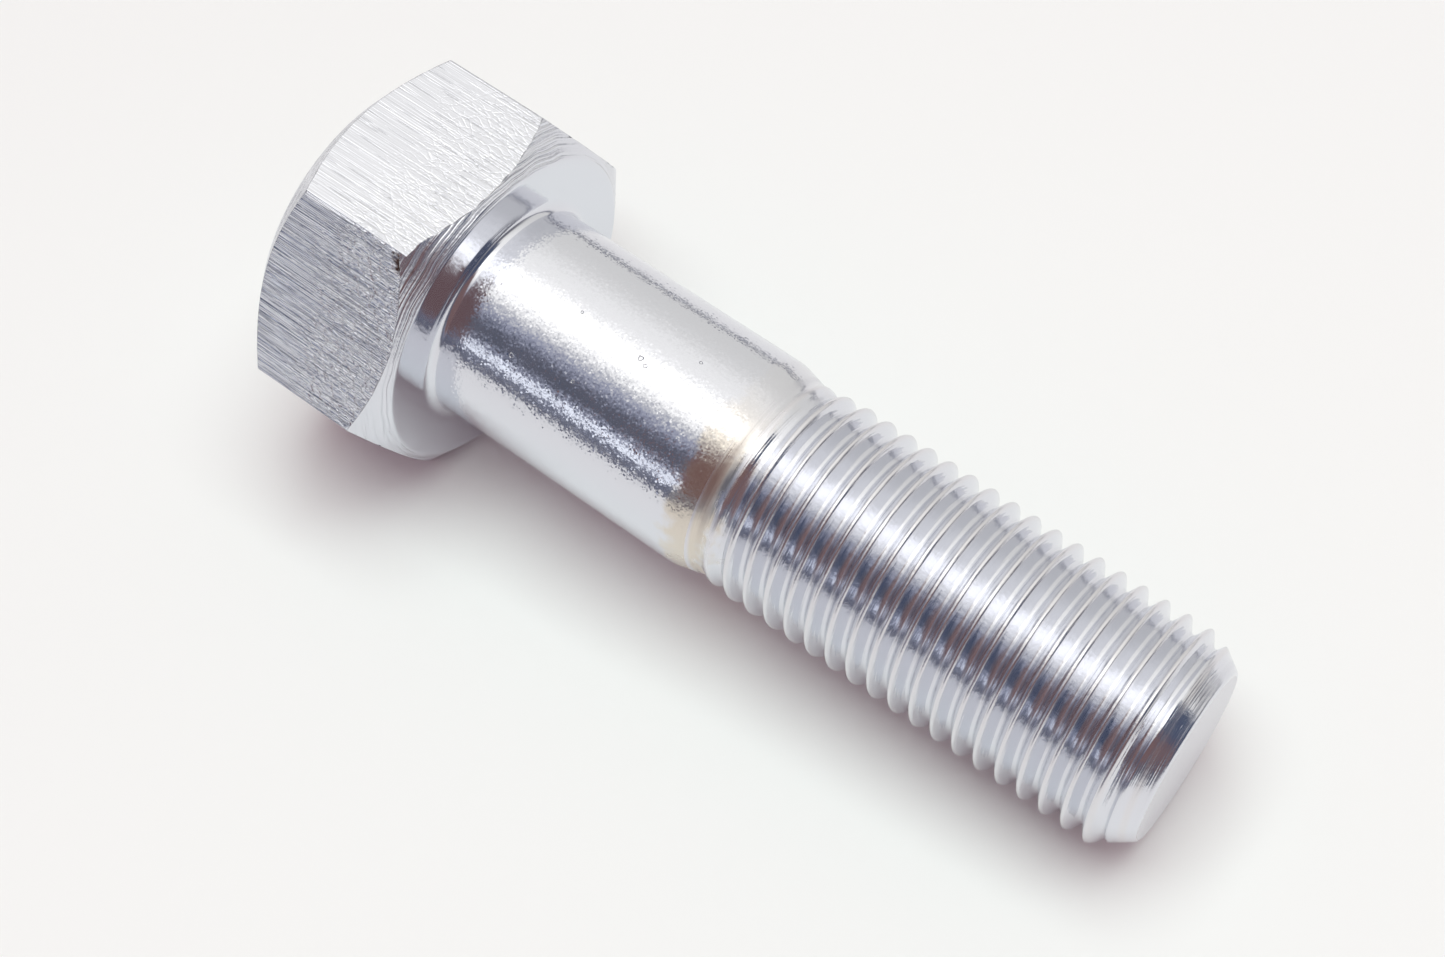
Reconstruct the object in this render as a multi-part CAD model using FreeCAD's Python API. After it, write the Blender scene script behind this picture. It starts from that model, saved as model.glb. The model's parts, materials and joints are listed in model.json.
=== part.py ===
import FreeCAD, Part
import math
import os

# A footrest bolt: a hexagon head with both of its faces chamfered, a plain shank, and a thread that was rolled on
# a reduced end. It is one piece of steel.
# While it is made, +Z runs along its axis towards the tip, and the underside of its head is at zero.
# The finished bolt lies as it comes to rest, on a flat of its head and on the end of its thread, tip towards +X.
# Lengths are in millimetres and angles in degrees. A fine thread is cut into the threaded length, which is
# modelled here at the diameter of its crests.

# Head
ACROSS_FLATS = 18.7
HEAD_HEIGHT = 9.6
CHAMFER_ANGLE = 37.5  # from the bearing plane, the same at both faces
TOP_FACE_INSET = 1.15  # how far the edge of the top face lies inside the flats
BEARING_FACE_INSET = 0.47  # the same for the bearing face
ROOT_FILLET = 0.55

# Plain shank, and the taper that leads down to the diameter on which the thread was rolled
SHANK_DIAMETER = 12.0
SHANK_LENGTH = 15.5
TAPER_LENGTH = 1.4
ROLLING_DIAMETER = 11.25

# Threaded length
LENGTH_UNDER_HEAD = 42.0  # to the middle of the end face
THREAD_MAJOR_DIAMETER = 11.8
RUN_OUT_LENGTH = 2.4  # over which the crests rise to their full height
TIP_CHAMFER_LENGTH = 1.8
TIP_CHAMFER_ANGLE = 35.0  # from the axis
END_TILT = 2.7  # how far the end face leans out of square, as it was sheared from the bar
END_SPARE = 0.5  # what stands beyond the middle of the end face before it is sheared

FLAT_RADIUS = ACROSS_FLATS / 2
CORNER_RADIUS = FLAT_RADIUS / math.cos(math.radians(30))
TOP_FACE_RADIUS = FLAT_RADIUS - TOP_FACE_INSET
BEARING_FACE_RADIUS = FLAT_RADIUS - BEARING_FACE_INSET
CHAMFER_SLOPE = math.tan(math.radians(CHAMFER_ANGLE))
SHANK_RADIUS = SHANK_DIAMETER / 2
CREST_RADIUS = THREAD_MAJOR_DIAMETER / 2
TIP_CHAMFER_SLOPE = math.tan(math.radians(TIP_CHAMFER_ANGLE))
SPARE_RADIUS = CREST_RADIUS - (TIP_CHAMFER_LENGTH + END_SPARE) * TIP_CHAMFER_SLOPE
TAPER_END = SHANK_LENGTH + TAPER_LENGTH
CHAMFER_START = LENGTH_UNDER_HEAD - TIP_CHAMFER_LENGTH

CENTRE = FreeCAD.Vector(0, 0, 0)
AXIS = FreeCAD.Vector(0, 0, 1)
SIDEWAYS = FreeCAD.Vector(0, 1, 0)


def point(radius, height):
    """A point of a turned outline, in the plane of two of the head's corners, so that no seam crosses a flat."""
    return FreeCAD.Vector(0, radius, height)


def run(points):
    """Straight edges from each point to the next."""
    return [Part.makeLine(a, b) for a, b in zip(points, points[1:])]


def turned(edges):
    """The solid that a closed outline sweeps about the bolt's axis."""
    return Part.Face(Part.Wire(edges)).revolve(CENTRE, AXIS, 360)


def hexagon():
    """The head's six flats, with two of them facing straight down and up when the bolt lies at rest."""
    corners = []
    for side in range(6):
        angle = math.radians(30 + 60 * side)
        corners.append(FreeCAD.Vector(CORNER_RADIUS * math.cos(angle), CORNER_RADIUS * math.sin(angle), -HEAD_HEIGHT))
    return Part.Face(Part.makePolygon(corners + corners[:1])).extrude(AXIS * HEAD_HEIGHT)


def head():
    """The hexagon inside two cones, which round off its corners and end each flat in an arc."""
    top_drop = (CORNER_RADIUS - TOP_FACE_RADIUS) * CHAMFER_SLOPE
    under_drop = (CORNER_RADIUS - BEARING_FACE_RADIUS) * CHAMFER_SLOPE
    cones = turned(run([
        point(0, -HEAD_HEIGHT),
        point(TOP_FACE_RADIUS, -HEAD_HEIGHT),
        point(CORNER_RADIUS, -HEAD_HEIGHT + top_drop),
        point(CORNER_RADIUS, -under_drop),
        point(BEARING_FACE_RADIUS, 0),
        point(0, 0),
        point(0, -HEAD_HEIGHT),
    ]))
    return cones.common(hexagon())


def shaft():
    """Root fillet, plain shank, taper, the rise to the full thread, and the lead-in chamfer at the tip."""
    fillet_start = point(SHANK_RADIUS + ROOT_FILLET, 0)
    fillet_end = point(SHANK_RADIUS, ROOT_FILLET)
    bulge = ROOT_FILLET * (1 - math.cos(math.radians(45)))
    fillet = Part.Arc(fillet_start, point(SHANK_RADIUS + bulge, bulge), fillet_end).toShape()
    inside_head = -HEAD_HEIGHT / 2
    outline = run([
        fillet_end,
        point(SHANK_RADIUS, SHANK_LENGTH),
        point(ROLLING_DIAMETER / 2, TAPER_END),
        point(CREST_RADIUS, TAPER_END + RUN_OUT_LENGTH),
        point(CREST_RADIUS, CHAMFER_START),
        point(SPARE_RADIUS, LENGTH_UNDER_HEAD + END_SPARE),
        point(0, LENGTH_UNDER_HEAD + END_SPARE),
        point(0, inside_head),
        point(SHANK_RADIUS + ROOT_FILLET, inside_head),
        fillet_start,
    ])
    return turned([fillet] + outline)


def sheared(bolt):
    """The bolt with its end face cut a little out of square, longest on the side towards -Y."""
    lean = math.radians(END_TILT)
    outward = FreeCAD.Vector(0, math.sin(lean), math.cos(lean))
    offcut = Part.makeCylinder(CREST_RADIUS, 2 * END_SPARE, AXIS * LENGTH_UNDER_HEAD, outward)
    return bolt.cut(offcut)


def laid_down(bolt):
    """Tips the bolt onto the lower flat's edge and the lowest crest, with the middle of its box over the origin."""
    head_contact = -BEARING_FACE_INSET * CHAMFER_SLOPE
    tilt = math.atan((FLAT_RADIUS - CREST_RADIUS) / (CHAMFER_START - head_contact))
    bolt.rotate(CENTRE, SIDEWAYS, 90 + math.degrees(tilt))
    floor = -FLAT_RADIUS * math.cos(tilt) - head_contact * math.sin(tilt)
    box = bolt.optimalBoundingBox(False)
    bolt.translate(FreeCAD.Vector(-box.Center.x, 0, -floor))
    return bolt


def main():
    bolt = laid_down(sheared(head().fuse(shaft())))
    os.makedirs("parts", exist_ok=True)
    bolt.exportStep("parts/bolt.step")


main()
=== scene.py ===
import json
import math
import bpy
import numpy as np
from mathutils import Matrix, Vector, noise


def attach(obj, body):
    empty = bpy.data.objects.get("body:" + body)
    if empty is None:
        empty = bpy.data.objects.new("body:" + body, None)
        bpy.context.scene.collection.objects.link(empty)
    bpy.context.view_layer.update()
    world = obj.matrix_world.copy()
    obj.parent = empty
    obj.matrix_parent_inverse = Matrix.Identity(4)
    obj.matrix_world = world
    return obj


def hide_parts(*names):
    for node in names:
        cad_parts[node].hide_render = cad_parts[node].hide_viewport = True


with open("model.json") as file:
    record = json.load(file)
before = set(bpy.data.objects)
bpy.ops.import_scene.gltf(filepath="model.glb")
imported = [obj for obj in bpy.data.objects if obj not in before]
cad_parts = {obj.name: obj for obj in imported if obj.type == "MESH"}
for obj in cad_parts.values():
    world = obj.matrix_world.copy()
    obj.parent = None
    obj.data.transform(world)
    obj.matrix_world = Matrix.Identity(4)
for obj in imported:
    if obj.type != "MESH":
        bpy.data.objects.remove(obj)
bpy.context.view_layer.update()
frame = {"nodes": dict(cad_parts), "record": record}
mm = 0.001
bpy.context.scene.view_settings.view_transform = "Standard"


# The bolt's own axes and turned outline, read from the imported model. Lengths in this part of the script are
# millimetres: z runs along the bolt from the bearing face to the tip, x across it to the floor, y sideways.

def mountCalled(name):
    return next(m for m in frame["record"]["mounts"] if m["name"] == name)


def readBolt():
    shank = mountCalled("shank")
    bearing = mountCalled("bearing_face")
    along = Vector(shank["axis"]).normalized()
    onAxis = Vector(shank["pos_m"])
    start = onAxis + along * (Vector(bearing["pos_m"]) - onAxis).dot(along)
    side = Vector((0, 1, 0))
    down = side.cross(along).normalized()
    node = frame["nodes"]["bolt"]
    points = np.array([tuple(node.matrix_world @ v.co - start) for v in node.data.vertices]) / mm
    z = points @ np.array(along)
    y = points @ np.array(side)
    radius = np.hypot(points @ np.array(down), y)
    corner = radius.max()
    close = 0.01
    atCorner = radius > corner - close
    turned = (z > -close) & (radius > close)
    rings = sorted({(round(a, 2), -round(b, 2)) for a, b in zip(z[turned], radius[turned])})
    outline = np.array([(a, -b) for a, b in rings[1:]])
    shankRadius, crestRadius = shank["dims"]["r_mm"], mountCalled("thread")["dims"]["r_mm"]
    onShank = outline[np.abs(outline[:, 1] - shankRadius) < close, 0]
    beyond = outline[outline[:, 0] > onShank.max()]
    onCrest = beyond[np.abs(beyond[:, 1] - crestRadius) < close, 0]
    rising = beyond[beyond[:, 0] < onCrest.min()]
    # the end face leans, so its edge lies on the chamfer's cone at many heights
    ends = [f for f in node.data.polygons if f.normal.dot(along) > 0.99 and z[f.vertices[0]] > onCrest.max()]
    atEnd = sorted({v for f in ends for v in f.vertices})
    lean, tip = np.polyfit(y[atEnd], z[atEnd], 1)
    chamferSlope = ((crestRadius - radius[atEnd]) / (z[atEnd] - onCrest.max())).mean()
    return {
        "start": start, "along": along, "down": down, "side": side,
        "headTop": z.min(), "topFace": radius[z < z.min() + close].max(),
        "cornerTop": z[atCorner].min(), "cornerUnder": z[atCorner].max(), "corner": corner,
        "bearing": -rings[0][1], "outline": outline[outline[:, 0] <= onCrest.max()],
        "rootEnd": onShank.min(), "taperStart": onShank.max(), "taperEnd": rising[rising[:, 1].argmin(), 0],
        "threadFull": onCrest.min(), "chamferStart": onCrest.max(), "chamferSlope": chamferSlope,
        "tip": tip, "lean": lean, "tipFace": crestRadius - chamferSlope * (tip - onCrest.max()),
        "shank": shankRadius, "crest": crestRadius,
    }


bolt = readBolt()
print("frame read: head", round(-bolt["headTop"], 2), "under head", round(bolt["tip"], 2))


# Noise that is the same every run

def grain(x, y, seed, octaves=2):
    value = [noise.fractal(Vector((a, b, seed)), 0.7, 2.1, octaves) for a, b in zip(np.ravel(x), np.ravel(y))]
    return np.array(value).reshape(np.shape(x))


def smooth(low, high, x):
    t = np.clip((x - low) / (high - low), 0, 1)
    return t * t * (3 - 2 * t)


# The mesh is a run of rings from the middle of the head's top face to the middle of the tip

slots = {"face": 0, "chamfer": 1, "flat": 2, "bearing": 3, "shank": 4, "thread": 5, "tip": 6}
mesh = {"points": [], "count": 0, "faces": [], "marks": [], "slots": []}


def addPoints(radius, z, angles):
    radius, z, angles = np.broadcast_arrays(radius, z, angles)
    mesh["points"].append(np.stack([radius * np.cos(angles), radius * np.sin(angles), z], axis=1))
    mesh["count"] += len(angles)
    return np.arange(mesh["count"] - len(angles), mesh["count"])


def addFace(corners, marks, slot):
    kept = [i for i in range(len(corners)) if corners[i] != corners[i - 1]]
    if len({corners[i] for i in kept}) > 2:
        mesh["faces"].append([int(corners[i]) for i in kept])
        mesh["marks"] += [marks[i] for i in kept]
        mesh["slots"].append(slots[slot])


def closed(values):
    return np.append(values, values[0])


# marks are two lengths in mm that the finishes use: across the tool marks, and along them
def joinRings(low, high, marksLow, marksHigh, slot):
    a, b = closed(low), closed(high)
    for j in range(len(low)):
        addFace((a[j], a[j + 1], b[j + 1], b[j]),
                ((marksLow[0][j], marksLow[1][j]), (marksLow[0][j + 1], marksLow[1][j + 1]),
                 (marksHigh[0][j + 1], marksHigh[1][j + 1]), (marksHigh[0][j], marksHigh[1][j])), slot)


def fan(centre, ringPoints, marks, slot, outward):
    r = closed(ringPoints)
    for j in range(len(ringPoints)):
        corners = (centre, r[j + 1], r[j]) if outward else (centre, r[j], r[j + 1])
        order = (j + 1, j) if outward else (j, j + 1)
        addFace(corners, ((0, marks[1][j]),) + tuple((marks[0][i], marks[1][i]) for i in order), slot)


# Joins a fine ring to one with a quarter as many points
def joinToCoarse(fine, coarse, marksFine, marksCoarse, slot, fineFirst):
    f, c = closed(fine), closed(coarse)
    ratio = len(fine) // len(coarse)
    for j in range(len(coarse)):
        k = j * ratio
        half = k + ratio // 2
        triangles = [(("c", j), ("f", i), ("f", i + 1)) for i in range(k, half)]
        triangles.append((("c", j), ("f", half), ("c", j + 1)))
        triangles += [(("c", j + 1), ("f", i), ("f", i + 1)) for i in range(half, k + ratio)]
        for triangle in triangles:
            if not fineFirst:
                triangle = (triangle[0], triangle[2], triangle[1])
            corners = [f[i] if kind == "f" else c[i] for kind, i in triangle]
            marks = [((marksFine if kind == "f" else marksCoarse)[0][i],
                      (marksFine if kind == "f" else marksCoarse)[1][i]) for kind, i in triangle]
            addFace(corners, marks, slot)


def marksOf(across, along, count):
    return np.broadcast_to(across, count + 1), np.broadcast_to(along, count + 1)


# Head

head = {
    "cornerRadius": 0.17,
    "columnsInCorner": 4,  # on each side of a corner
    "columnsOnFlat": 71,  # between two rounded corners
    "coarseColumns": 120,  # as the shaft has
    "coarseFrom": 7.0,  # inside this radius the top face has the coarse columns
    "faceCentre": 0.8, "faceRings": 9, "faceJoin": 0.25,  # the coarse rings, and the step up to the fine ones
    "bearingCoarseFrom": 7.75,
    "topEdge": 0.14, "flatTopEdge": 0.06, "flatUnderEdge": 0.05, "bearingEdge": 0.12,
    "rowsInEdge": 4, "rowsOnChamfer": 9, "rowsOnFlat": 40, "rowsOnFace": 5,
    # marks in the flats: cells a mm across the flat and along the bolt, and depth
    "waveCells": (0.45, 0.10), "waveDepth": 0.010,
    "streakCells": (2.6, 0.22), "streakDepth": 0.006,
    "tearCells": (1.0, 1.9), "tearDepth": 0.022,
    "tornFrom": 0.35, "tornTo": 0.95, "tornSway": 0.25, "tornCells": 0.5,  # shares of the flat's length
    # ragged edges of the flats: how far they wander, and over what length that dies out
    "raggedTop": 0.03, "topReach": 0.8, "raggedUnder": 0.10, "underReach": 0.9, "raggedCells": 1.3,
    "crushedSide": 4, "crushedWidth": 0.36, "crushedDepth": 0.075,
    "crushedFade": (0.1, 0.6), "crushedLoss": 0.6,
    # the burr that hangs over the under chamfer at one corner
    "lipSide": 3, "lipLength": 0.45, "lipReach": 1.5, "lipCurve": 1.5,
}
flatRadius = bolt["corner"] * math.cos(math.radians(30))
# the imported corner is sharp, so the rounded one is set out from the same flats
cornerCentre = (flatRadius - head["cornerRadius"]) / math.cos(math.radians(30))
flatHalf = (flatRadius - head["cornerRadius"]) * math.tan(math.radians(30))
sharpHalf = flatRadius * math.tan(math.radians(30))


def headColumns():
    flatEnd = math.atan2(flatHalf, flatRadius)
    inCorner = np.linspace(math.radians(30), flatEnd, head["columnsInCorner"] + 2)[:-1]
    onFlat = np.arctan2(np.linspace(-flatHalf, flatHalf, head["columnsOnFlat"]), flatRadius)
    oneSide = np.concatenate([-inCorner, onFlat, inCorner[:0:-1]])
    middles = np.repeat(np.radians(60) * np.arange(6), len(oneSide))
    return middles + np.tile(oneSide, 6), np.tile(oneSide, 6), middles


headAngles, fromMiddle, sideMiddles = headColumns()
headCount = len(headAngles)
sides = np.round(sideMiddles / math.radians(60))
coarseCount = head["coarseColumns"]
coarseAngles = 2 * math.pi * np.arange(coarseCount) / coarseCount - math.radians(30)
coarseTurn = np.append(coarseAngles, coarseAngles[0] + 2 * math.pi)


def hexagonRadius():
    onFlat = flatRadius / np.cos(fromMiddle)
    fromCorner = math.radians(30) - np.abs(fromMiddle)
    inside = np.clip(head["cornerRadius"] ** 2 - (cornerCentre * np.sin(fromCorner)) ** 2, 0, None)
    rounded = cornerCentre * np.cos(fromCorner) + np.sqrt(inside)
    return np.where(onFlat * np.abs(np.sin(fromMiddle)) > flatHalf, rounded, onFlat)


def softened(before, corner, after, reach, steps):
    towards, away = before - corner, after - corner
    first = corner + towards * reach / np.hypot(*towards)
    last = corner + away * reach / np.hypot(*away)
    return [(1 - t) ** 2 * first + 2 * t * (1 - t) * corner + t * t * last for t in np.linspace(0, 1, steps + 1)]


def between(a, b, steps):
    return [a + (b - a) * i / steps for i in range(1, steps)]


def atColumns(radius, z):
    return np.stack(np.broadcast_arrays(radius, z, np.zeros(headCount))[:2])


def buildHead():
    out = hexagonRadius()
    topSlope = (bolt["cornerTop"] - bolt["headTop"]) / (bolt["corner"] - bolt["topFace"])
    underSlope = bolt["cornerUnder"] / (bolt["corner"] - bolt["bearing"])
    inner = atColumns(head["coarseFrom"], bolt["headTop"])
    topFace = atColumns(bolt["topFace"], bolt["headTop"])
    flatTop = atColumns(out, bolt["headTop"] + (out - bolt["topFace"]) * topSlope)
    flatUnder = atColumns(out, (out - bolt["bearing"]) * underSlope)
    bearing = atColumns(bolt["bearing"], 0)
    last = atColumns(head["bearingCoarseFrom"], 0)
    n = head["rowsInEdge"]
    edges = [softened(inner, topFace, flatTop, head["topEdge"], n),
             softened(topFace, flatTop, flatUnder, head["flatTopEdge"], n),
             softened(flatTop, flatUnder, bearing, head["flatUnderEdge"], n),
             softened(flatUnder, bearing, last, head["bearingEdge"], n)]
    rows = [("face", row) for row in [inner] + between(inner, edges[0][0], head["rowsOnFace"]) + edges[0][:2]]
    rows += [("chamfer", row) for row in edges[0][2:] + between(edges[0][-1], edges[1][0], head["rowsOnChamfer"])]
    rows += [("chamfer", row) for row in edges[1][:2]]
    rows += [("flat", row) for row in edges[1][2:] + between(edges[1][-1], edges[2][0], head["rowsOnFlat"])]
    rows += [("flat", row) for row in edges[2][:3]]
    rows += [("chamfer", row) for row in edges[2][3:] + between(edges[2][-1], edges[3][0], head["rowsOnChamfer"])]
    rows += [("chamfer", row) for row in edges[3][:2]]
    rows += [("bearing", row) for row in edges[3][2:] + between(edges[3][-1], last, head["rowsOnFace"]) + [last]]
    return rows, flatTop[1], flatUnder[1]


# How far each point of the flats stands below the trimmed plane
def flatRelief(radius, z, zTop, zUnder):
    across = radius * np.sin(fromMiddle)
    share = (z - zTop) / (zUnder - zTop)
    wide, long = head["waveCells"]
    wave = grain(across * wide, z * long + sides * 5, 1.0)
    wide, long = head["streakCells"]
    streak = grain(across * wide, z * long + sides * 9, 2.0, 3)
    sway = grain(across * head["tornCells"], z * head["tornCells"] + sides, 3.0)
    torn = smooth(head["tornFrom"], head["tornTo"], share + head["tornSway"] * sway)
    wide, long = head["tearCells"]
    tear = -np.abs(grain(across * wide + sides * 3, z * long, 4.0, 3))
    relief = head["waveDepth"] * (wave - 1) + head["streakDepth"] * streak + head["tearDepth"] * torn * tear
    crushed = (sides == head["crushedSide"]) * smooth(head["crushedWidth"], 0.0, across + sharpHalf)
    relief -= head["crushedDepth"] * crushed * (1 - head["crushedLoss"] * smooth(*head["crushedFade"], share))
    return np.minimum(relief, 0)


def raggedEdge(across, amount, seed):
    return amount * grain(across * head["raggedCells"] + sides * 7, 0 * across + seed, 5.0, 3)


# A row of the flats with its relief, and with the two edges run over
def flatRow(radius, z, zTop, zUnder):
    relief = flatRelief(radius, z, zTop, zUnder)
    across = radius * np.sin(fromMiddle)
    nearTop = smooth(head["topReach"], 0.0, z - zTop)
    nearUnder = smooth(head["underReach"], 0.0, zUnder - z)
    shift = raggedEdge(across, head["raggedTop"], 1.0) * nearTop
    shift += raggedEdge(across, head["raggedUnder"], 2.0) * nearUnder
    fromLip = np.where(sides == head["lipSide"], sharpHalf - across, 99)
    lip = np.clip(1 - fromLip / head["lipReach"], 0, 1) ** head["lipCurve"]
    shift += head["lipLength"] * lip * nearUnder
    x = radius * np.cos(headAngles) + relief * np.cos(sideMiddles)
    y = radius * np.sin(headAngles) + relief * np.sin(sideMiddles)
    return np.hypot(x, y), z + shift


def makeHead():
    rows, zTop, zUnder = buildHead()
    along = 2 * sharpHalf * (sides + 0.5) + flatRadius * np.tan(fromMiddle)
    along = np.append(along, along[0] + 12 * sharpHalf)
    centre = addPoints(0.0, bolt["headTop"], np.zeros(1))
    radii = np.linspace(head["faceCentre"], head["coarseFrom"] - head["faceJoin"], head["faceRings"])
    previous = None
    for radius in radii:
        ring = addPoints(radius, bolt["headTop"], coarseAngles)
        marks = marksOf(radius, coarseTurn * radius, coarseCount)
        if previous is None:
            fan(centre[0], ring, marks, "face", True)
        else:
            joinRings(previous[0], ring, previous[1], marks, "face")
        previous = (ring, marks)
    first = True
    for region, (radius, z) in rows:
        if region == "flat":
            radius, z = flatRow(radius, z, zTop, zUnder)
        ring = addPoints(radius, z, headAngles)
        marks = (closed(z), along) if region == "flat" else (closed(radius), along)
        if first:
            joinToCoarse(ring, previous[0], marks, previous[1], "face", False)
            first = False
        else:
            joinRings(previous[0], ring, previous[1], marks, region)
        previous = (ring, marks)
    return previous


# Shaft

shaft = {
    "bearingRings": (7.35, 7.0), "beforeRoot": 0.12, "rowsInRoot": 10,
    "rowsOnShank": 44,
    "taperEdge": 0.3, "rowsInTaperEdge": 8,  # how far the taper's edge is rounded back along the shank
    "pitch": 1.25,
    "flankAngle": 30.0,  # from square to the bolt
    "crestWidth": 0.15,
    "crestRounding": 0.09,
    "rootRadius": 0.22,
    "crestAtBottom": 0.53,  # where a crest would cross the lowest line nearest to the head
    # rows from one crest to the next, in shares of the pitch
    "rows": (0, 0.045, 0.08, 0.12, 0.20, 0.29, 0.36, 0.41, 0.455, 0.5,
             0.545, 0.59, 0.64, 0.71, 0.80, 0.88, 0.92, 0.955),
    "snap": 0.02,  # a row this close to either end, in shares of the pitch, is held there
    "runsInBefore": 0.5,  # how far ahead of the taper's end the first faint groove starts
    "runsInAfter": 0.6,  # how far beyond the full crests the grooves reach their full depth
    "chamferRounding": 0.05,
    "leansBefore": 0.6,  # how far ahead of the chamfer the rows begin to follow the leaning end face
    "tipRounding": 0.3, "rowsInTipEdge": 12,  # between the chamfer and the end face
    "tipRings": (0.9, 0.12, 7),  # first and last, as shares of the end face, and how many
    "plainMark": 0.3,  # the chamfer's distance from a root, for the finish: neither root nor crest
}


def coneRadius(z):
    return bolt["tipFace"] + (bolt["tip"] - z) * bolt["chamferSlope"]


# How far the rounding at the tip reaches along the chamfer and along the end face
chamferAngle = math.atan(bolt["chamferSlope"])
tipReach = shaft["tipRounding"] * math.tan((math.pi / 2 - chamferAngle) / 2)
roundFrom = bolt["tip"] - tipReach * math.cos(chamferAngle)


def threadRadius(z, angles):
    s = z - shaft["pitch"] * angles / (2 * math.pi) - shaft["crestAtBottom"]
    fromCrest = np.abs((s / shaft["pitch"] + 0.5) % 1 - 0.5) * shaft["pitch"]
    flank = math.radians(shaft["flankAngle"])
    root, rounding = shaft["rootRadius"], shaft["crestRounding"]
    halfPitch, halfCrest = shaft["pitch"] / 2, shaft["crestWidth"] / 2
    inArc = root * math.cos(flank)

    def risen(fromRoot):
        arc = root - np.sqrt(root * root - np.clip(fromRoot, 0, inArc) ** 2)
        return arc + np.clip(fromRoot - inArc, 0, None) / math.tan(flank)

    left = risen(halfPitch - halfCrest) - risen(halfPitch - fromCrest)
    depth = (left + np.sqrt(left * left + rounding * rounding)) / 2
    depth -= (math.hypot(2 * halfCrest, rounding) - 2 * halfCrest) / 4
    outline = np.where(z > bolt["chamferStart"], bolt["crest"], np.interp(z, *bolt["outline"].T))
    grown = smooth(bolt["taperEnd"] - shaft["runsInBefore"], bolt["threadFull"] + shaft["runsInAfter"], z)
    threaded = outline - grown * np.clip(depth, 0, None)
    cone = coneRadius(z)
    return (threaded + cone - np.hypot(threaded - cone, shaft["chamferRounding"])) / 2


def leaned(z, radius, angles):
    start = bolt["chamferStart"] - shaft["leansBefore"]
    share = np.clip((z - start) / (bolt["tip"] - start), 0, 1)
    return z + share * bolt["lean"] * radius * np.sin(angles)


def makeShank(previous):
    outer, inner = shaft["bearingRings"]
    bearingRing = addPoints(outer, 0.0, coarseAngles)
    marks = marksOf(outer, coarseTurn * outer, coarseCount)
    joinToCoarse(previous[0], bearingRing, previous[1], marks, "bearing", True)
    previous = (bearingRing, marks)
    rootStart = bolt["outline"][0, 1]
    reach = rootStart - bolt["shank"]
    turned = [("bearing", radius, 0.0) for radius in (inner, rootStart + shaft["beforeRoot"], rootStart)]
    for i in range(1, shaft["rowsInRoot"] + 1):
        a = math.radians(90 * i / shaft["rowsInRoot"])
        turned.append(("bearing", rootStart - reach * math.sin(a), bolt["rootEnd"] * (1 - math.cos(a))))
    start = bolt["taperEnd"] - shaft["runsInBefore"]
    edgeStart = bolt["taperStart"] - shaft["taperEdge"]
    for z in np.linspace(bolt["rootEnd"], edgeStart, shaft["rowsOnShank"])[1:]:
        turned.append(("shank", bolt["shank"], z))
    first = np.array([edgeStart, bolt["shank"]])
    corner = np.array([bolt["taperStart"], bolt["shank"]])
    last = np.array([start, float(np.interp(start, *bolt["outline"].T))])
    for t in np.linspace(0, 1, shaft["rowsInTaperEdge"] + 1)[1:]:
        z, radius = (1 - t) ** 2 * first + 2 * t * (1 - t) * corner + t * t * last
        turned.append(("shank", radius, z))
    for region, radius, z in turned:
        ring = addPoints(radius, z, coarseAngles)
        across = radius if region == "bearing" else z
        marks = marksOf(across, coarseTurn * bolt["shank"], coarseCount)
        joinRings(previous[0], ring, previous[1], marks, region)
        previous = (ring, marks)
    return previous, start


# The thread's rows follow the helix. A row that would run past either end is held at the ring there.
def makeThread(previous, start):
    pitch, n = shaft["pitch"], len(shaft["rows"])
    inPitch = pitch * np.array([*shaft["rows"], 1.0])
    turns = (coarseAngles - coarseAngles[0]) / (2 * math.pi)
    turns = np.append(turns, 1.0)
    crest = shaft["crestAtBottom"] + pitch * coarseAngles[0] / (2 * math.pi)
    firstRow = n * math.floor((start - pitch - crest) / pitch)
    lastRow = n * math.ceil((roundFrom - crest) / pitch + 1)
    low, high = start, roundFrom
    snap = shaft["snap"] * pitch
    height = leaned(high, coneRadius(high), coarseAngles)
    topRing = addPoints(threadRadius(height, coarseAngles), height, coarseAngles)
    ids = {}
    heights = {}
    for row in range(firstRow, lastRow + 1):
        z = crest + pitch * (row // n) + inPitch[row % n] + pitch * turns
        atLow, atHigh = z < low + snap, z > high - snap
        z = np.clip(np.where(atLow, low, np.where(atHigh, high, z)), low, high)
        heights[row] = z
        free = ~(atLow | atHigh)[:-1]
        ring = np.where(atLow[:-1], previous[0], topRing)
        if free.any():
            a = coarseAngles[free]
            height = leaned(z[:-1][free], np.minimum(bolt["crest"], coneRadius(z[:-1][free])), a)
            ring[free] = addPoints(threadRadius(height, a), height, a)
        ids[row] = ring
    circle = 2 * math.pi * bolt["crest"] / pitch
    for row in range(firstRow, lastRow):
        above = min(row + n, lastRow)
        aboveNext = min(row + 1 + n, lastRow)
        a = np.append(ids[row], ids[above][0])
        b = np.append(ids[row + 1], ids[aboveNext][0])
        za, zb = heights[row], heights[row + 1]
        across, acrossNext = inPitch[row % n] - pitch / 2, inPitch[row % n + 1] - pitch / 2
        for j in range(len(coarseAngles)):
            if za[j] == zb[j] and za[j + 1] == zb[j + 1]:
                continue
            addFace((a[j], a[j + 1], b[j + 1], b[j]),
                    ((across, za[j] * circle), (across, za[j + 1] * circle),
                     (acrossNext, zb[j + 1] * circle), (acrossNext, zb[j] * circle)), "thread")
    return topRing


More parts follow.
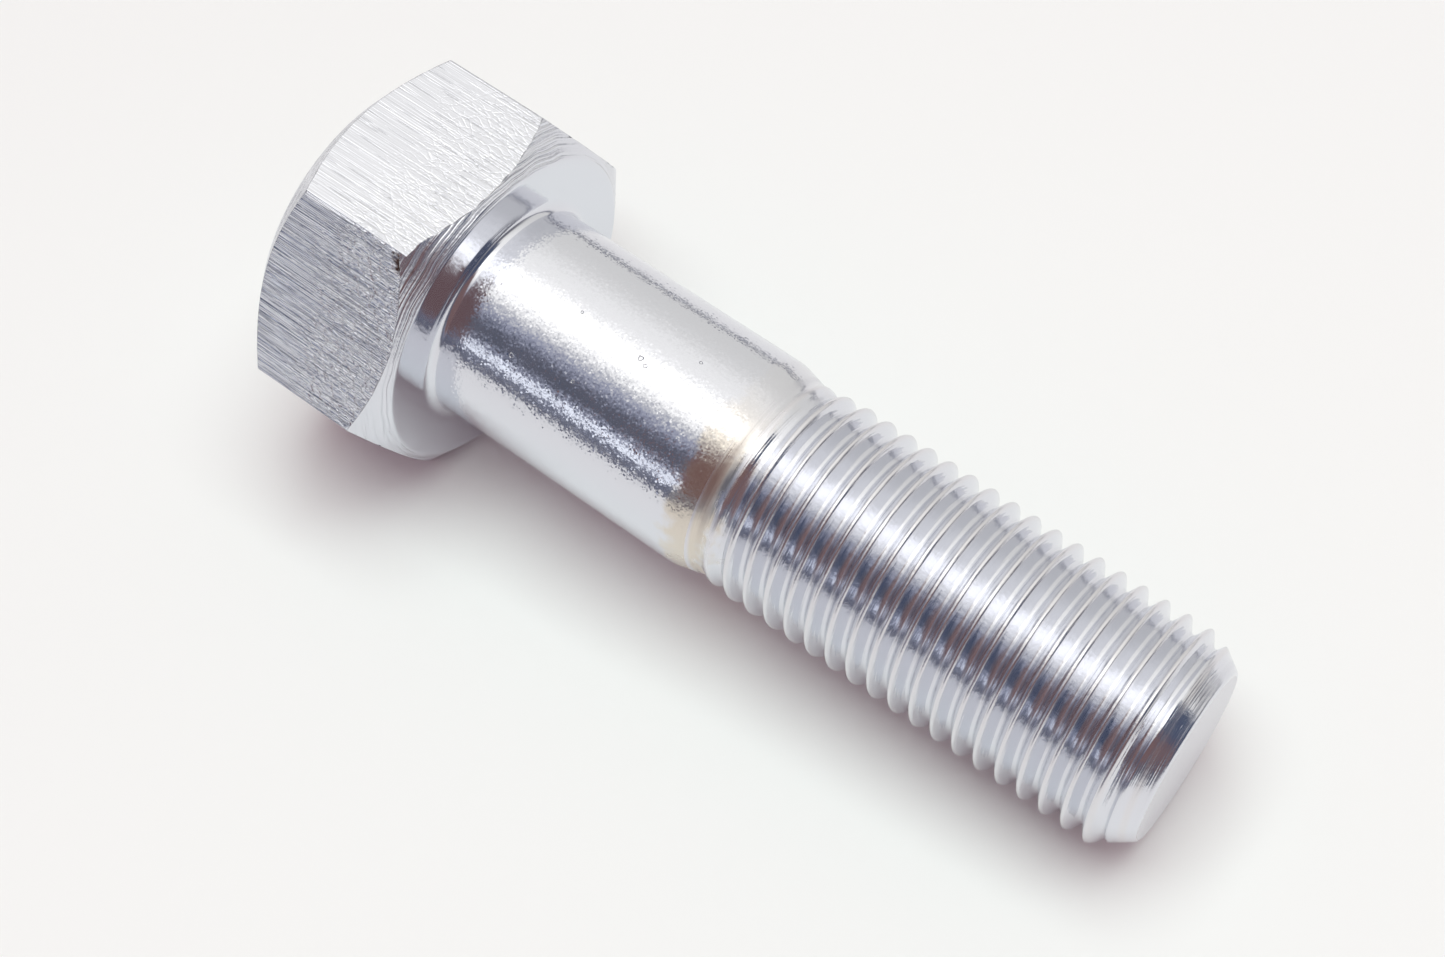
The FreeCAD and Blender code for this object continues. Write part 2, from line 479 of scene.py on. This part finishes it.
def makeTip(topRing):
    previous = (topRing, marksOf(shaft["plainMark"], coarseTurn * bolt["tipFace"], coarseCount))
    edge = bolt["tipFace"] - tipReach
    rounding = shaft["tipRounding"]
    rings = []
    for a in np.linspace(chamferAngle, math.pi / 2, shaft["rowsInTipEdge"] + 1)[1:]:
        rings.append(("thread", edge + rounding * math.cos(a), bolt["tip"] - rounding * (1 - math.sin(a))))
    rings += [("tip", share * edge, bolt["tip"]) for share in np.linspace(*shaft["tipRings"])]
    for region, radius, z in rings:
        height = leaned(z, radius, coarseAngles)
        ring = addPoints(radius - bolt["chamferSlope"] * (height - z) * radius / edge, height, coarseAngles)
        marks = marksOf(shaft["plainMark"] if region == "thread" else radius, coarseTurn * radius, coarseCount)
        joinRings(previous[0], ring, previous[1], marks, region)
        previous = (ring, marks)
    centre = addPoints(0.0, bolt["tip"], np.zeros(1))
    fan(centre[0], previous[0], previous[1], "tip", False)


def makeBolt():
    ring, start = makeShank(makeHead())
    makeTip(makeThread(ring, start))
    local = np.concatenate(mesh["points"]) * mm
    axes = np.array([tuple(bolt["down"]), tuple(bolt["side"]), tuple(bolt["along"])])
    data = bpy.data.meshes.new("bolt")
    data.from_pydata((local @ axes + np.array(bolt["start"])).tolist(), [], mesh["faces"])
    layer = data.uv_layers.new(name="marks")
    layer.data.foreach_set("uv", np.array(mesh["marks"], dtype=np.float32).ravel())
    data.polygons.foreach_set("material_index", mesh["slots"])
    data.shade_smooth()
    data.validate()
    piece = bpy.data.objects.new("zincPlatedBolt", data)
    bpy.context.scene.collection.objects.link(piece)
    return piece


piece = makeBolt()
corners = [len(p.vertices) for p in piece.data.polygons]
print("bolt made:", len(piece.data.vertices), "points,", sum(corners) - 2 * len(corners), "triangles")


# Small helpers for the finishes

def addNode(tree, kind, inputs=None, **settings):
    made = tree.nodes.new(kind)
    for key, value in settings.items():
        setattr(made, key, value)
    for name, value in (inputs or {}).items():
        if isinstance(value, bpy.types.NodeSocket):
            tree.links.new(value, made.inputs[name])
        else:
            made.inputs[name].default_value = value
    return made


def maths(tree, operation, *values):
    return addNode(tree, "ShaderNodeMath", dict(enumerate(values)), operation=operation).outputs[0]


def vectors(tree, operation, *values):
    return addNode(tree, "ShaderNodeVectorMath", dict(enumerate(values)), operation=operation).outputs


def product(tree, first, *others):
    for other in others:
        first = maths(tree, "MULTIPLY", first, other)
    return first


def remap(tree, value, fromLow, fromHigh, toLow=0.0, toHigh=1.0):
    return addNode(tree, "ShaderNodeMapRange", {0: value, 1: fromLow, 2: fromHigh, 3: toLow, 4: toHigh},
                   interpolation_type="SMOOTHSTEP").outputs[0]


def mixColour(tree, share, first, second):
    return addNode(tree, "ShaderNodeMix", {0: share, 6: first, 7: second}, data_type="RGBA").outputs[2]


def combine(tree, x, y, z):
    return addNode(tree, "ShaderNodeCombineXYZ", {0: x, 1: y, 2: z}).outputs[0]


def split(tree, vector):
    return addNode(tree, "ShaderNodeSeparateXYZ", {0: vector}).outputs


def cloud(tree, vector, scale, detail=2.0, roughness=0.5):
    return addNode(tree, "ShaderNodeTexNoise", {"Vector": vector, "Scale": scale, "Detail": detail,
                                                "Roughness": roughness}).outputs[0]


# noise drawn out along the tool's path: cells a mm across the marks and along them
def toolMarks(tree, across, along, cells, seed, detail=1.0, roughness=0.4):
    return cloud(tree, combine(tree, maths(tree, "MULTIPLY", across, cells[0]),
                               maths(tree, "MULTIPLY", along, cells[1]), seed), 1.0, detail, roughness)


# bumps laid on each other, each a height and its depth in mm
def emboss(tree, shader, *layers, normal=None):
    for height, depth in layers:
        inputs = {"Strength": 1.0, "Distance": depth * mm, "Height": height}
        if normal is not None:
            inputs["Normal"] = normal
        normal = addNode(tree, "ShaderNodeBump", inputs).outputs[0]
    tree.links.new(normal, shader.inputs["Normal"])


# the two lengths stored on the mesh, in mm
def markLengths(tree):
    parts = split(tree, addNode(tree, "ShaderNodeUVMap", uv_map="marks").outputs[0])
    return parts[0], parts[1]


# a point's place on the bolt, in mm: across it to the floor, sideways, and along it from the bearing face
def placeOnBolt(tree):
    place = addNode(tree, "ShaderNodeTexCoord").outputs["Object"]
    away = vectors(tree, "SUBTRACT", place, tuple(bolt["start"]))[0]
    axes = [tuple(bolt[name] / mm) for name in ("down", "side", "along")]
    parts = [vectors(tree, "DOT_PRODUCT", away, axis)["Value"] for axis in axes]
    return combine(tree, *parts), parts[2]


# 1 within reach of a place on the bolt, fading out raggedly. The angle is in degrees from the upper flat's middle,
# less than nothing towards -Y.
def spot(tree, place, z, angle, radius, reach, ragged, scale):
    turn = math.radians(angle)
    centre = (-radius * math.cos(turn), radius * math.sin(turn), z)
    distance = vectors(tree, "DISTANCE", place, centre)["Value"]
    rough = maths(tree, "SUBTRACT", cloud(tree, place, scale, 3.0, 0.6), 0.5)
    distance = maths(tree, "MULTIPLY_ADD", rough, 2 * ragged * reach, distance)
    return remap(tree, distance, reach, 0.55 * reach)


def steel(name, build):
    material = bpy.data.materials.new(name)
    material.use_nodes = True
    tree = material.node_tree
    shader = tree.nodes["Principled BSDF"]
    shader.inputs["Metallic"].default_value = 1.0
    build(tree, shader)
    piece.data.materials.append(material)


# Finishes, all one zinc plating over differently worked steel. Depths are in mm, and scales are cells a mm. A pair
# of scales is across the tool's marks and along them.

zinc = {
    "colour": (0.735, 0.748, 0.80, 1),
    "dull": (0.765, 0.77, 0.805, 1),
    "crest": (0.75, 0.745, 0.775, 1),
    # painted shade: the colour that the marks in the flats darken to, as shade lying in these recesses
    "paintedGrooveShade": (0.30, 0.32, 0.39, 1),
    # rust with painted shade: a dark brown laid under the corner where the burr hangs over, part rust, part the
    # burr's shade painted in
    "rustAndBurrShade": (0.085, 0.045, 0.036, 1),
    "tan": (0.70, 0.63, 0.53, 1),
}

faceMarks = {
    "roughness": (0.22, 0.34), "blotchScale": 0.6,
    "ringScales": (5.0, 0.05), "ringDepth": 0.010,
    "grainScale": 5.0, "grainDepth": 0.010,
}


def faceFinish(tree, shader):
    place, _ = placeOnBolt(tree)
    across, along = markLengths(tree)
    shader.inputs["Base Color"].default_value = zinc["colour"]
    blotch = cloud(tree, place, faceMarks["blotchScale"], 3.0)
    tree.links.new(remap(tree, blotch, 0.3, 0.7, *faceMarks["roughness"]), shader.inputs["Roughness"])
    emboss(tree, shader, (toolMarks(tree, across, along, faceMarks["ringScales"], 1.0), faceMarks["ringDepth"]),
           (cloud(tree, place, faceMarks["grainScale"], 1.0, 0.4), faceMarks["grainDepth"]))


chamferMarks = {
    "roughness": 0.22,
    "ringScales": (8.5, 0.06), "ringDepth": 0.14, "ringWobble": 0.3,
    "grainScale": 5.0, "grainDepth": 0.014,
    # a spot of rust and painted shade under the corner where the burr hangs over
    "rustAndShadeSpot": (0.25, -33, 10.4, 1.1, 0.7, 2.2),  # as spot takes it
}


def chamferFinish(tree, shader):
    place, _ = placeOnBolt(tree)
    across, along = markLengths(tree)
    wobble = maths(tree, "MULTIPLY_ADD", cloud(tree, place, 0.5, 1.0), chamferMarks["ringWobble"], across)
    # rust and painted shade: a dark brown spot under the corner's burr, part rust, part the burr's shade painted
    # in
    rustAndBurrShade = spot(tree, place, *chamferMarks["rustAndShadeSpot"])
    tree.links.new(mixColour(tree, rustAndBurrShade, zinc["colour"], zinc["rustAndBurrShade"]), shader.inputs["Base Color"])
    shader.inputs["Roughness"].default_value = chamferMarks["roughness"]
    rings = toolMarks(tree, wobble, along, chamferMarks["ringScales"], 2.0, 1.0, 0.5)
    emboss(tree, shader, (rings, chamferMarks["ringDepth"]),
           (cloud(tree, place, chamferMarks["grainScale"], 1.0, 0.4), chamferMarks["grainDepth"]))


flatMarks = {
    "roughness": 0.18,
    # the upper flat is smoother than the others, and paler as it gets little of the painted shade in the marks:
    # its share of the depth and of that shade, and theirs
    "depth": 0.075, "depthShares": (0.8, 2.7), "darkShares": (0.04, 0.76),
    "othersFrom": (0.02, 0.20),  # how far under the upper flat the finish of the others starts, and is full
    "darkLines": (0.54, 0.68), "darkCracks": 0.3,
    # the scales of each kind of mark, and its share of the height
    "lineScales": (12.0, 0.15), "lines": 0.40,
    "broadScales": (1.8, 0.10), "broad": 0.30,
    "grooveScales": (8.0, 0.30), "grooveWidth": (0.60, 0.70), "grooves": -0.20,
    "tornScales": (6.5, 4.0), "torn": 0.22,
    "plateScales": (2.6, 1.5), "crackWidth": 0.10, "cracks": -0.18,
    "tornFrom": -5.0, "tornTo": -1.6, "tornSway": 4.0,  # towards the bearing face the cut is torn
    # a spot of rust and painted shade at the under end of the corner where the burr hangs over
    "rustAndShadeSpot": (-0.9, -31, 10.6, 1.0, 0.8, 2.5),
}


def flatFinish(tree, shader):
    across, along = markLengths(tree)
    place, _ = placeOnBolt(tree)
    lines = toolMarks(tree, along, across, flatMarks["lineScales"], 0.0)
    broad = toolMarks(tree, along, across, flatMarks["broadScales"], 3.0)
    grooves = toolMarks(tree, along, across, flatMarks["grooveScales"], 11.0)
    grooves = remap(tree, grooves, *flatMarks["grooveWidth"])
    torn = toolMarks(tree, along, across, flatMarks["tornScales"], 7.0)
    ragged = maths(tree, "MULTIPLY_ADD", cloud(tree, place, 0.5, 3.0), flatMarks["tornSway"], across)
    share = remap(tree, ragged, flatMarks["tornFrom"], flatMarks["tornTo"])
    bend = cloud(tree, place, 1.6, 3.0)
    wide, long = flatMarks["plateScales"]
    plates = combine(tree, maths(tree, "MULTIPLY_ADD", along, wide, bend),
                     maths(tree, "MULTIPLY_ADD", across, long, bend), 4.0)
    crack = addNode(tree, "ShaderNodeTexVoronoi", {"Vector": plates, "Scale": 1.0}, feature="DISTANCE_TO_EDGE")
    crack = product(tree, remap(tree, crack.outputs["Distance"], flatMarks["crackWidth"], 0.0), share)
    height = maths(tree, "MULTIPLY_ADD", broad, flatMarks["broad"], product(tree, lines, flatMarks["lines"]))
    height = maths(tree, "MULTIPLY_ADD", torn, product(tree, share, flatMarks["torn"]), height)
    height = maths(tree, "MULTIPLY_ADD", crack, flatMarks["cracks"], height)
    height = maths(tree, "MULTIPLY_ADD", grooves, flatMarks["grooves"], height)
    lower = remap(tree, split(tree, place)[0], *(under - flatRadius for under in flatMarks["othersFrom"]))
    upper, others = flatMarks["depthShares"]
    depth = maths(tree, "MULTIPLY_ADD", lower, others - upper, upper)
    emboss(tree, shader, (product(tree, height, depth), flatMarks["depth"]))
    # painted shade: the base colour darkens in the grooves, the cracks and the deepest lines, as shade in these
    # recesses, most on the flats below the upper one
    paintedMarkShade = maths(tree, "MAXIMUM", grooves, product(tree, crack, flatMarks["darkCracks"]))
    paintedMarkShade = maths(tree, "MAXIMUM", remap(tree, lines, *flatMarks["darkLines"]), paintedMarkShade)
    upper, others = flatMarks["darkShares"]
    paintedMarkShade = product(tree, paintedMarkShade, maths(tree, "MULTIPLY_ADD", lower, others - upper, upper))
    colour = mixColour(tree, paintedMarkShade, zinc["colour"], zinc["paintedGrooveShade"])
    # rust and painted shade under the corner's burr, on the flats below the upper one
    rustAndBurrShade = product(tree, spot(tree, place, *flatMarks["rustAndShadeSpot"]), lower)
    tree.links.new(mixColour(tree, rustAndBurrShade, colour, zinc["rustAndBurrShade"]), shader.inputs["Base Color"])
    shader.inputs["Roughness"].default_value = flatMarks["roughness"]


bearingMarks = {
    "roughness": 0.12,
    "ringScales": (8.0, 0.05), "ringDepth": 0.003,
    "waveScale": 3.0, "waveDepth": 0.004,
}


def bearingFinish(tree, shader):
    place, _ = placeOnBolt(tree)
    across, along = markLengths(tree)
    shader.inputs["Base Color"].default_value = zinc["colour"]
    shader.inputs["Roughness"].default_value = bearingMarks["roughness"]
    rings = toolMarks(tree, across, along, bearingMarks["ringScales"], 4.0)
    emboss(tree, shader, (rings, bearingMarks["ringDepth"]),
           (cloud(tree, place, bearingMarks["waveScale"], 2.0), bearingMarks["waveDepth"]))


# a tan stain round the taper, where the plating stayed thin: strongest on the side towards -Y
stain = {
    "from": 15.3, "to": 17.6, "sway": 3.4, "fadesOut": 0.6, "fadesIn": 0.5,
    "sides": (1.5, -3.5), "shares": (0.10, 0.80),
}


def tanStain(tree, place, z):
    rough = maths(tree, "SUBTRACT", cloud(tree, place, 0.9, 4.0, 0.6), 0.5)
    ragged = maths(tree, "MULTIPLY_ADD", rough, stain["sway"], z)
    band = product(tree, remap(tree, ragged, stain["from"] - stain["fadesOut"], stain["from"] + stain["fadesIn"]),
                   remap(tree, ragged, stain["to"] + stain["fadesIn"], stain["to"] - stain["fadesOut"]),
                   remap(tree, split(tree, place)[1], *stain["sides"], *stain["shares"]))
    return mixColour(tree, band, zinc["colour"], zinc["tan"]), band


shankMarks = {
    "roughness": (0.10, 0.16), "stainRougher": 0.15, "blotchScale": 0.8,
    # the plating's crystals: how far they tilt, and how far the brightest ones do
    "facetScale": 11.0, "facetTilt": 0.075, "glintTilt": 0.18, "glintsFrom": 0.80,
    "waveScale": 4.0, "waveDepth": 0.010,
    # along the bolt, angle from the top, size: what knocks left
    "nicks": ((10.1, -11, 0.16), (10.5, -13, 0.12), (4.2, -44, 0.13), (7.8, -38, 0.10), (6.1, -8, 0.09),
              (12.6, 4, 0.10)),
    "nickDepth": 0.05,
}


def shankFinish(tree, shader):
    place, z = placeOnBolt(tree)
    facets = addNode(tree, "ShaderNodeTexVoronoi", {"Vector": place, "Scale": shankMarks["facetScale"]})
    chance = split(tree, facets.outputs["Color"])[2]
    tilt = remap(tree, chance, shankMarks["glintsFrom"], 1.0, shankMarks["facetTilt"], shankMarks["glintTilt"])
    away = vectors(tree, "SUBTRACT", facets.outputs["Color"], (0.5, 0.5, 0.5))[0]
    normal = addNode(tree, "ShaderNodeNewGeometry").outputs["Normal"]
    tilted = vectors(tree, "MULTIPLY_ADD", away, combine(tree, tilt, tilt, tilt), normal)[0]
    tilted = vectors(tree, "NORMALIZE", tilted)[0]
    height = cloud(tree, place, shankMarks["waveScale"], 1.0)
    for zNick, angle, size in shankMarks["nicks"]:
        nick = spot(tree, place, zNick, angle, bolt["shank"], size, 0.7, 5.0)
        height = maths(tree, "MULTIPLY_ADD", nick, -shankMarks["nickDepth"] / shankMarks["waveDepth"], height)
    emboss(tree, shader, (height, shankMarks["waveDepth"]), normal=tilted)
    stained, tan = tanStain(tree, place, z)
    tree.links.new(stained, shader.inputs["Base Color"])
    blotch = cloud(tree, place, shankMarks["blotchScale"])
    rough = remap(tree, blotch, 0.3, 0.7, *shankMarks["roughness"])
    rough = maths(tree, "MULTIPLY_ADD", tan, shankMarks["stainRougher"], rough)
    tree.links.new(rough, shader.inputs["Roughness"])


threadMarks = {
    "roughness": 0.13, "stainRougher": 0.2, "crestRougher": 0.12, "rootRougher": 0.12,
    "crest": (0.24, 0.04),  # how far from the crest's middle its finish starts and is full
    "root": (0.24, 0.08),  # the same from the middle of the root
    "lineScales": (7.0, 0.35), "lineDepth": 0.020,
    "grainScale": 3.5, "grainDepth": 0.010,
}


def threadFinish(tree, shader):
    place, z = placeOnBolt(tree)
    across, along = markLengths(tree)
    stained, tan = tanStain(tree, place, z)
    fromRoot = maths(tree, "ABSOLUTE", across)
    onCrest = remap(tree, fromRoot, *(shaft["pitch"] / 2 - reach for reach in threadMarks["crest"]))
    inRoot = remap(tree, fromRoot, *threadMarks["root"])
    tree.links.new(mixColour(tree, onCrest, stained, zinc["crest"]), shader.inputs["Base Color"])
    rough = maths(tree, "MULTIPLY_ADD", tan, threadMarks["stainRougher"], threadMarks["roughness"])
    rough = maths(tree, "MULTIPLY_ADD", onCrest, threadMarks["crestRougher"], rough)
    rough = maths(tree, "MULTIPLY_ADD", inRoot, threadMarks["rootRougher"], rough)
    tree.links.new(rough, shader.inputs["Roughness"])
    lines = toolMarks(tree, across, along, threadMarks["lineScales"], 5.0)
    emboss(tree, shader, (lines, threadMarks["lineDepth"]),
           (cloud(tree, place, threadMarks["grainScale"], 3.0), threadMarks["grainDepth"]))


tipMarks = {"roughness": 0.38, "grainScale": 2.5, "grainDepth": 0.02}


def tipFinish(tree, shader):
    place, _ = placeOnBolt(tree)
    shader.inputs["Base Color"].default_value = zinc["dull"]
    shader.inputs["Roughness"].default_value = tipMarks["roughness"]
    emboss(tree, shader, (cloud(tree, place, tipMarks["grainScale"], 4.0), tipMarks["grainDepth"]))


steel("zincFace", faceFinish)
steel("zincChamfer", chamferFinish)
steel("zincFlat", flatFinish)
steel("zincBearing", bearingFinish)
steel("zincShank", shankFinish)
steel("zincThread", threadFinish)
steel("zincTip", tipFinish)
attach(piece, "root")
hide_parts("bolt")
print("finishes made:", len(piece.data.materials))


# Floor, light and camera

stage = {
    "floorHalf": 1.5,
    "floorColour": (0.90, 0.89, 0.885, 1),
    "roughness": 0.6, "specular": 0.2,
    "dimColour": (0.195, 0.215, 0.27, 1),  # as the bolt mirrors the floor far away
    "dimFrom": 0.07, "dimTo": 0.22,
}


def makeFloor():
    data = bpy.data.meshes.new("floor")
    h = stage["floorHalf"]
    data.from_pydata([(-h, -h, 0), (h, -h, 0), (h, h, 0), (-h, h, 0)], [], [(0, 1, 2, 3)])
    floor = bpy.data.objects.new("floor", data)
    bpy.context.scene.collection.objects.link(floor)
    material = bpy.data.materials.new("paleFloor")
    material.use_nodes = True
    tree = material.node_tree
    shader = tree.nodes["Principled BSDF"]
    place = addNode(tree, "ShaderNodeTexCoord").outputs["Object"]
    far = remap(tree, vectors(tree, "LENGTH", place)["Value"], stage["dimFrom"], stage["dimTo"])
    mirrored = addNode(tree, "ShaderNodeLightPath").outputs["Is Glossy Ray"]
    colour = mixColour(tree, product(tree, far, mirrored), stage["floorColour"], stage["dimColour"])
    tree.links.new(colour, shader.inputs["Base Color"])
    shader.inputs["Roughness"].default_value = stage["roughness"]
    shader.inputs["Specular IOR Level"].default_value = stage["specular"]
    data.materials.append(material)


# What the bolt mirrors: a long soft light over it, a pale wall on the far side and a dim one on the near side,
# towards -Y. Brightness goes by the turn about the frame's X axis, in degrees from straight up to +Y.
studio = {
    "brightest": 2.0,
    "across": ((-90, 0.16), (-86, 0.18), (-80, 0.30), (-70, 0.36), (-60, 0.12), (-50, 0.13), (-44, 0.24),
               (-36, 0.42), (-28, 0.66), (-20, 1.15), (-12, 1.45), (-4, 2.0), (6, 1.9), (14, 1.3), (21, 1.13),
               (36, 1.08), (45, 0.98), (52, 0.90), (60, 0.84), (75, 0.80), (90, 0.80)),
    "dimTint": (0.95, 1.0, 1.28), "brightTint": (1.0, 0.985, 0.945),
    "dimUpTo": 0.35, "brightFrom": 0.75,
    "endWall": (0.09, 0.088, 0.10, 1),
    "shadow": (0.045, 0.055, 0.085, 1),
    "brown": (0.105, 0.066, 0.066, 1),
    "slit": (0.60, 0.62, 0.66, 1),
    # What stands in that room, each laid over the one before: its colour, and what bounds it. A bound is a measure
    # of the direction, where the thing starts to show, and where it shows in full. level is x on the horizon.
    "things": (
        ("endWall", (("level", 0.5, 0.85), ("z", 0.42, 0.18))),
        ("shadow", (("x", 0.62, 0.69), ("z", 0.68, 0.60), ("z", 0.04, 0.14), ("y", 0.42, 0.32))),
        ("brown", (("level", -0.32, -0.20), ("z", 0.86, 0.76), ("z", 0.12, 0.20), ("y", -0.05, -0.25))),
        ("brown", (("level", -0.72, -0.84), ("z", 0.70, 0.55), ("z", 0.28, 0.42), ("y", -0.05, -0.25))),
        ("shadow", (("level", -0.54, -0.62), ("z", 0.70, 0.58), ("z", 0.24, 0.32), ("y", -0.05, -0.25))),
        ("slit", (("z", 0.16, 0.20), ("z", 0.34, 0.25), ("level", -0.60, -0.48), ("level", -0.04, -0.16),
                  ("y", -0.05, -0.25))),
    ),
    "ambient": (0.42, 0.29, 0.325, 1),
    "backdrop": (0.93, 0.92, 0.915, 1),
}


def studioStops():
    stops = []
    for turn, brightness in studio["across"]:
        share = float(np.interp(brightness, (studio["dimUpTo"], studio["brightFrom"]), (0, 1)))
        tint = [a + (b - a) * share for a, b in zip(studio["dimTint"], studio["brightTint"])]
        stops.append((turn / 180 + 0.5, [t * brightness / studio["brightest"] for t in tint]))
    return stops


def ramp(tree, value, stops):
    made = addNode(tree, "ShaderNodeValToRGB", {0: value})
    elements = made.color_ramp.elements
    while len(elements) < len(stops):
        elements.new(1.0)
    for element, (position, colour) in zip(elements, stops):
        element.position = position
        element.color = (*colour, 1)
    return made.outputs[0]


def makeWorld():
    world = bpy.data.worlds.new("studio")
    bpy.context.scene.world = world
    world.use_nodes = True
    tree = world.node_tree
    tree.nodes.clear()
    direction = addNode(tree, "ShaderNodeTexCoord").outputs["Generated"]
    x, y, z = split(tree, direction)
    level = split(tree, vectors(tree, "NORMALIZE", combine(tree, x, y, 0.0))[0])[0]
    measures = {"x": x, "y": y, "z": z, "level": level}
    turn = maths(tree, "MULTIPLY_ADD", maths(tree, "ARCTAN2", y, z), 1 / math.pi, 0.5)
    colour = ramp(tree, turn, studioStops())
    for name, bounds in studio["things"]:
        shares = [remap(tree, measures[measure], start, full) for measure, start, full in bounds]
        colour = mixColour(tree, product(tree, *shares), colour, studio[name])
    mirrored = addNode(tree, "ShaderNodeBackground", {"Color": colour, "Strength": studio["brightest"]})
    path = addNode(tree, "ShaderNodeLightPath").outputs
    plain = mixColour(tree, path["Is Camera Ray"], studio["ambient"], studio["backdrop"])
    ambient = addNode(tree, "ShaderNodeBackground", {"Color": plain})
    both = addNode(tree, "ShaderNodeMixShader", {0: path["Is Glossy Ray"], 1: ambient.outputs[0],
                                                 2: mirrored.outputs[0]})
    output = addNode(tree, "ShaderNodeOutputWorld")
    tree.links.new(both.outputs[0], output.inputs[0])


# The lamp lights the floor. What the metal mirrors is the studio round it.
lamp = {"place": (0.04, -0.01, 0.5), "size": 0.42, "power": 2.27, "colour": (0.831, 1.0, 0.941)}


def makeLamp():
    data = bpy.data.lights.new("softbox", "AREA")
    data.size = lamp["size"]
    data.energy = lamp["power"]
    data.color = lamp["colour"]
    made = bpy.data.objects.new("softbox", data)
    made.location = lamp["place"]
    made.visible_glossy = False
    bpy.context.scene.collection.objects.link(made)


view = {
    "photoWidth": 1445, "photoHeight": 957,
    "azimuth": 37.367, "elevation": 57.975, "roll": 0.829,  # about the bolt's own axis and its upper flat
    "distance": 136.1,  # mm from the middle of the bearing face
    "focal": 2604.0,  # pixels
    "sensor": 36, "nearest": 0.005,
    "startSeenAt": (506.9, 309.7),  # where the middle of the bearing face lies in the photograph
}


def makeCamera():
    a, e, roll = (math.radians(view[k]) for k in ("azimuth", "elevation", "roll"))
    back = Vector((math.sin(a) * math.cos(e), -math.cos(a) * math.cos(e), math.sin(e)))
    right = Vector((math.cos(a), math.sin(a), 0))
    up = back.cross(right)
    right, up = right * math.cos(roll) + up * math.sin(roll), up * math.cos(roll) - right * math.sin(roll)
    unit = view["distance"] / view["focal"]
    u = (view["startSeenAt"][0] - view["photoWidth"] / 2) * unit
    v = (view["photoHeight"] / 2 - view["startSeenAt"][1]) * unit
    place = back * view["distance"] - right * u - up * v

    # from the bolt's axes to the frame's
    def turned(p):
        return bolt["along"] * p.x + bolt["side"] * p.y - bolt["down"] * p.z

    data = bpy.data.cameras.new("camera")
    data.sensor_width = view["sensor"]
    data.lens = view["focal"] / view["photoWidth"] * data.sensor_width
    data.clip_start = view["nearest"]
    camera = bpy.data.objects.new("camera", data)
    axes = Matrix((turned(right), turned(up), turned(back))).transposed()
    camera.matrix_world = Matrix.LocRotScale(bolt["start"] + turned(place) * mm, axes.to_quaternion(), None)
    bpy.context.scene.collection.objects.link(camera)
    bpy.context.scene.camera = camera


makeFloor()
makeWorld()
makeLamp()
makeCamera()
print("stage made")
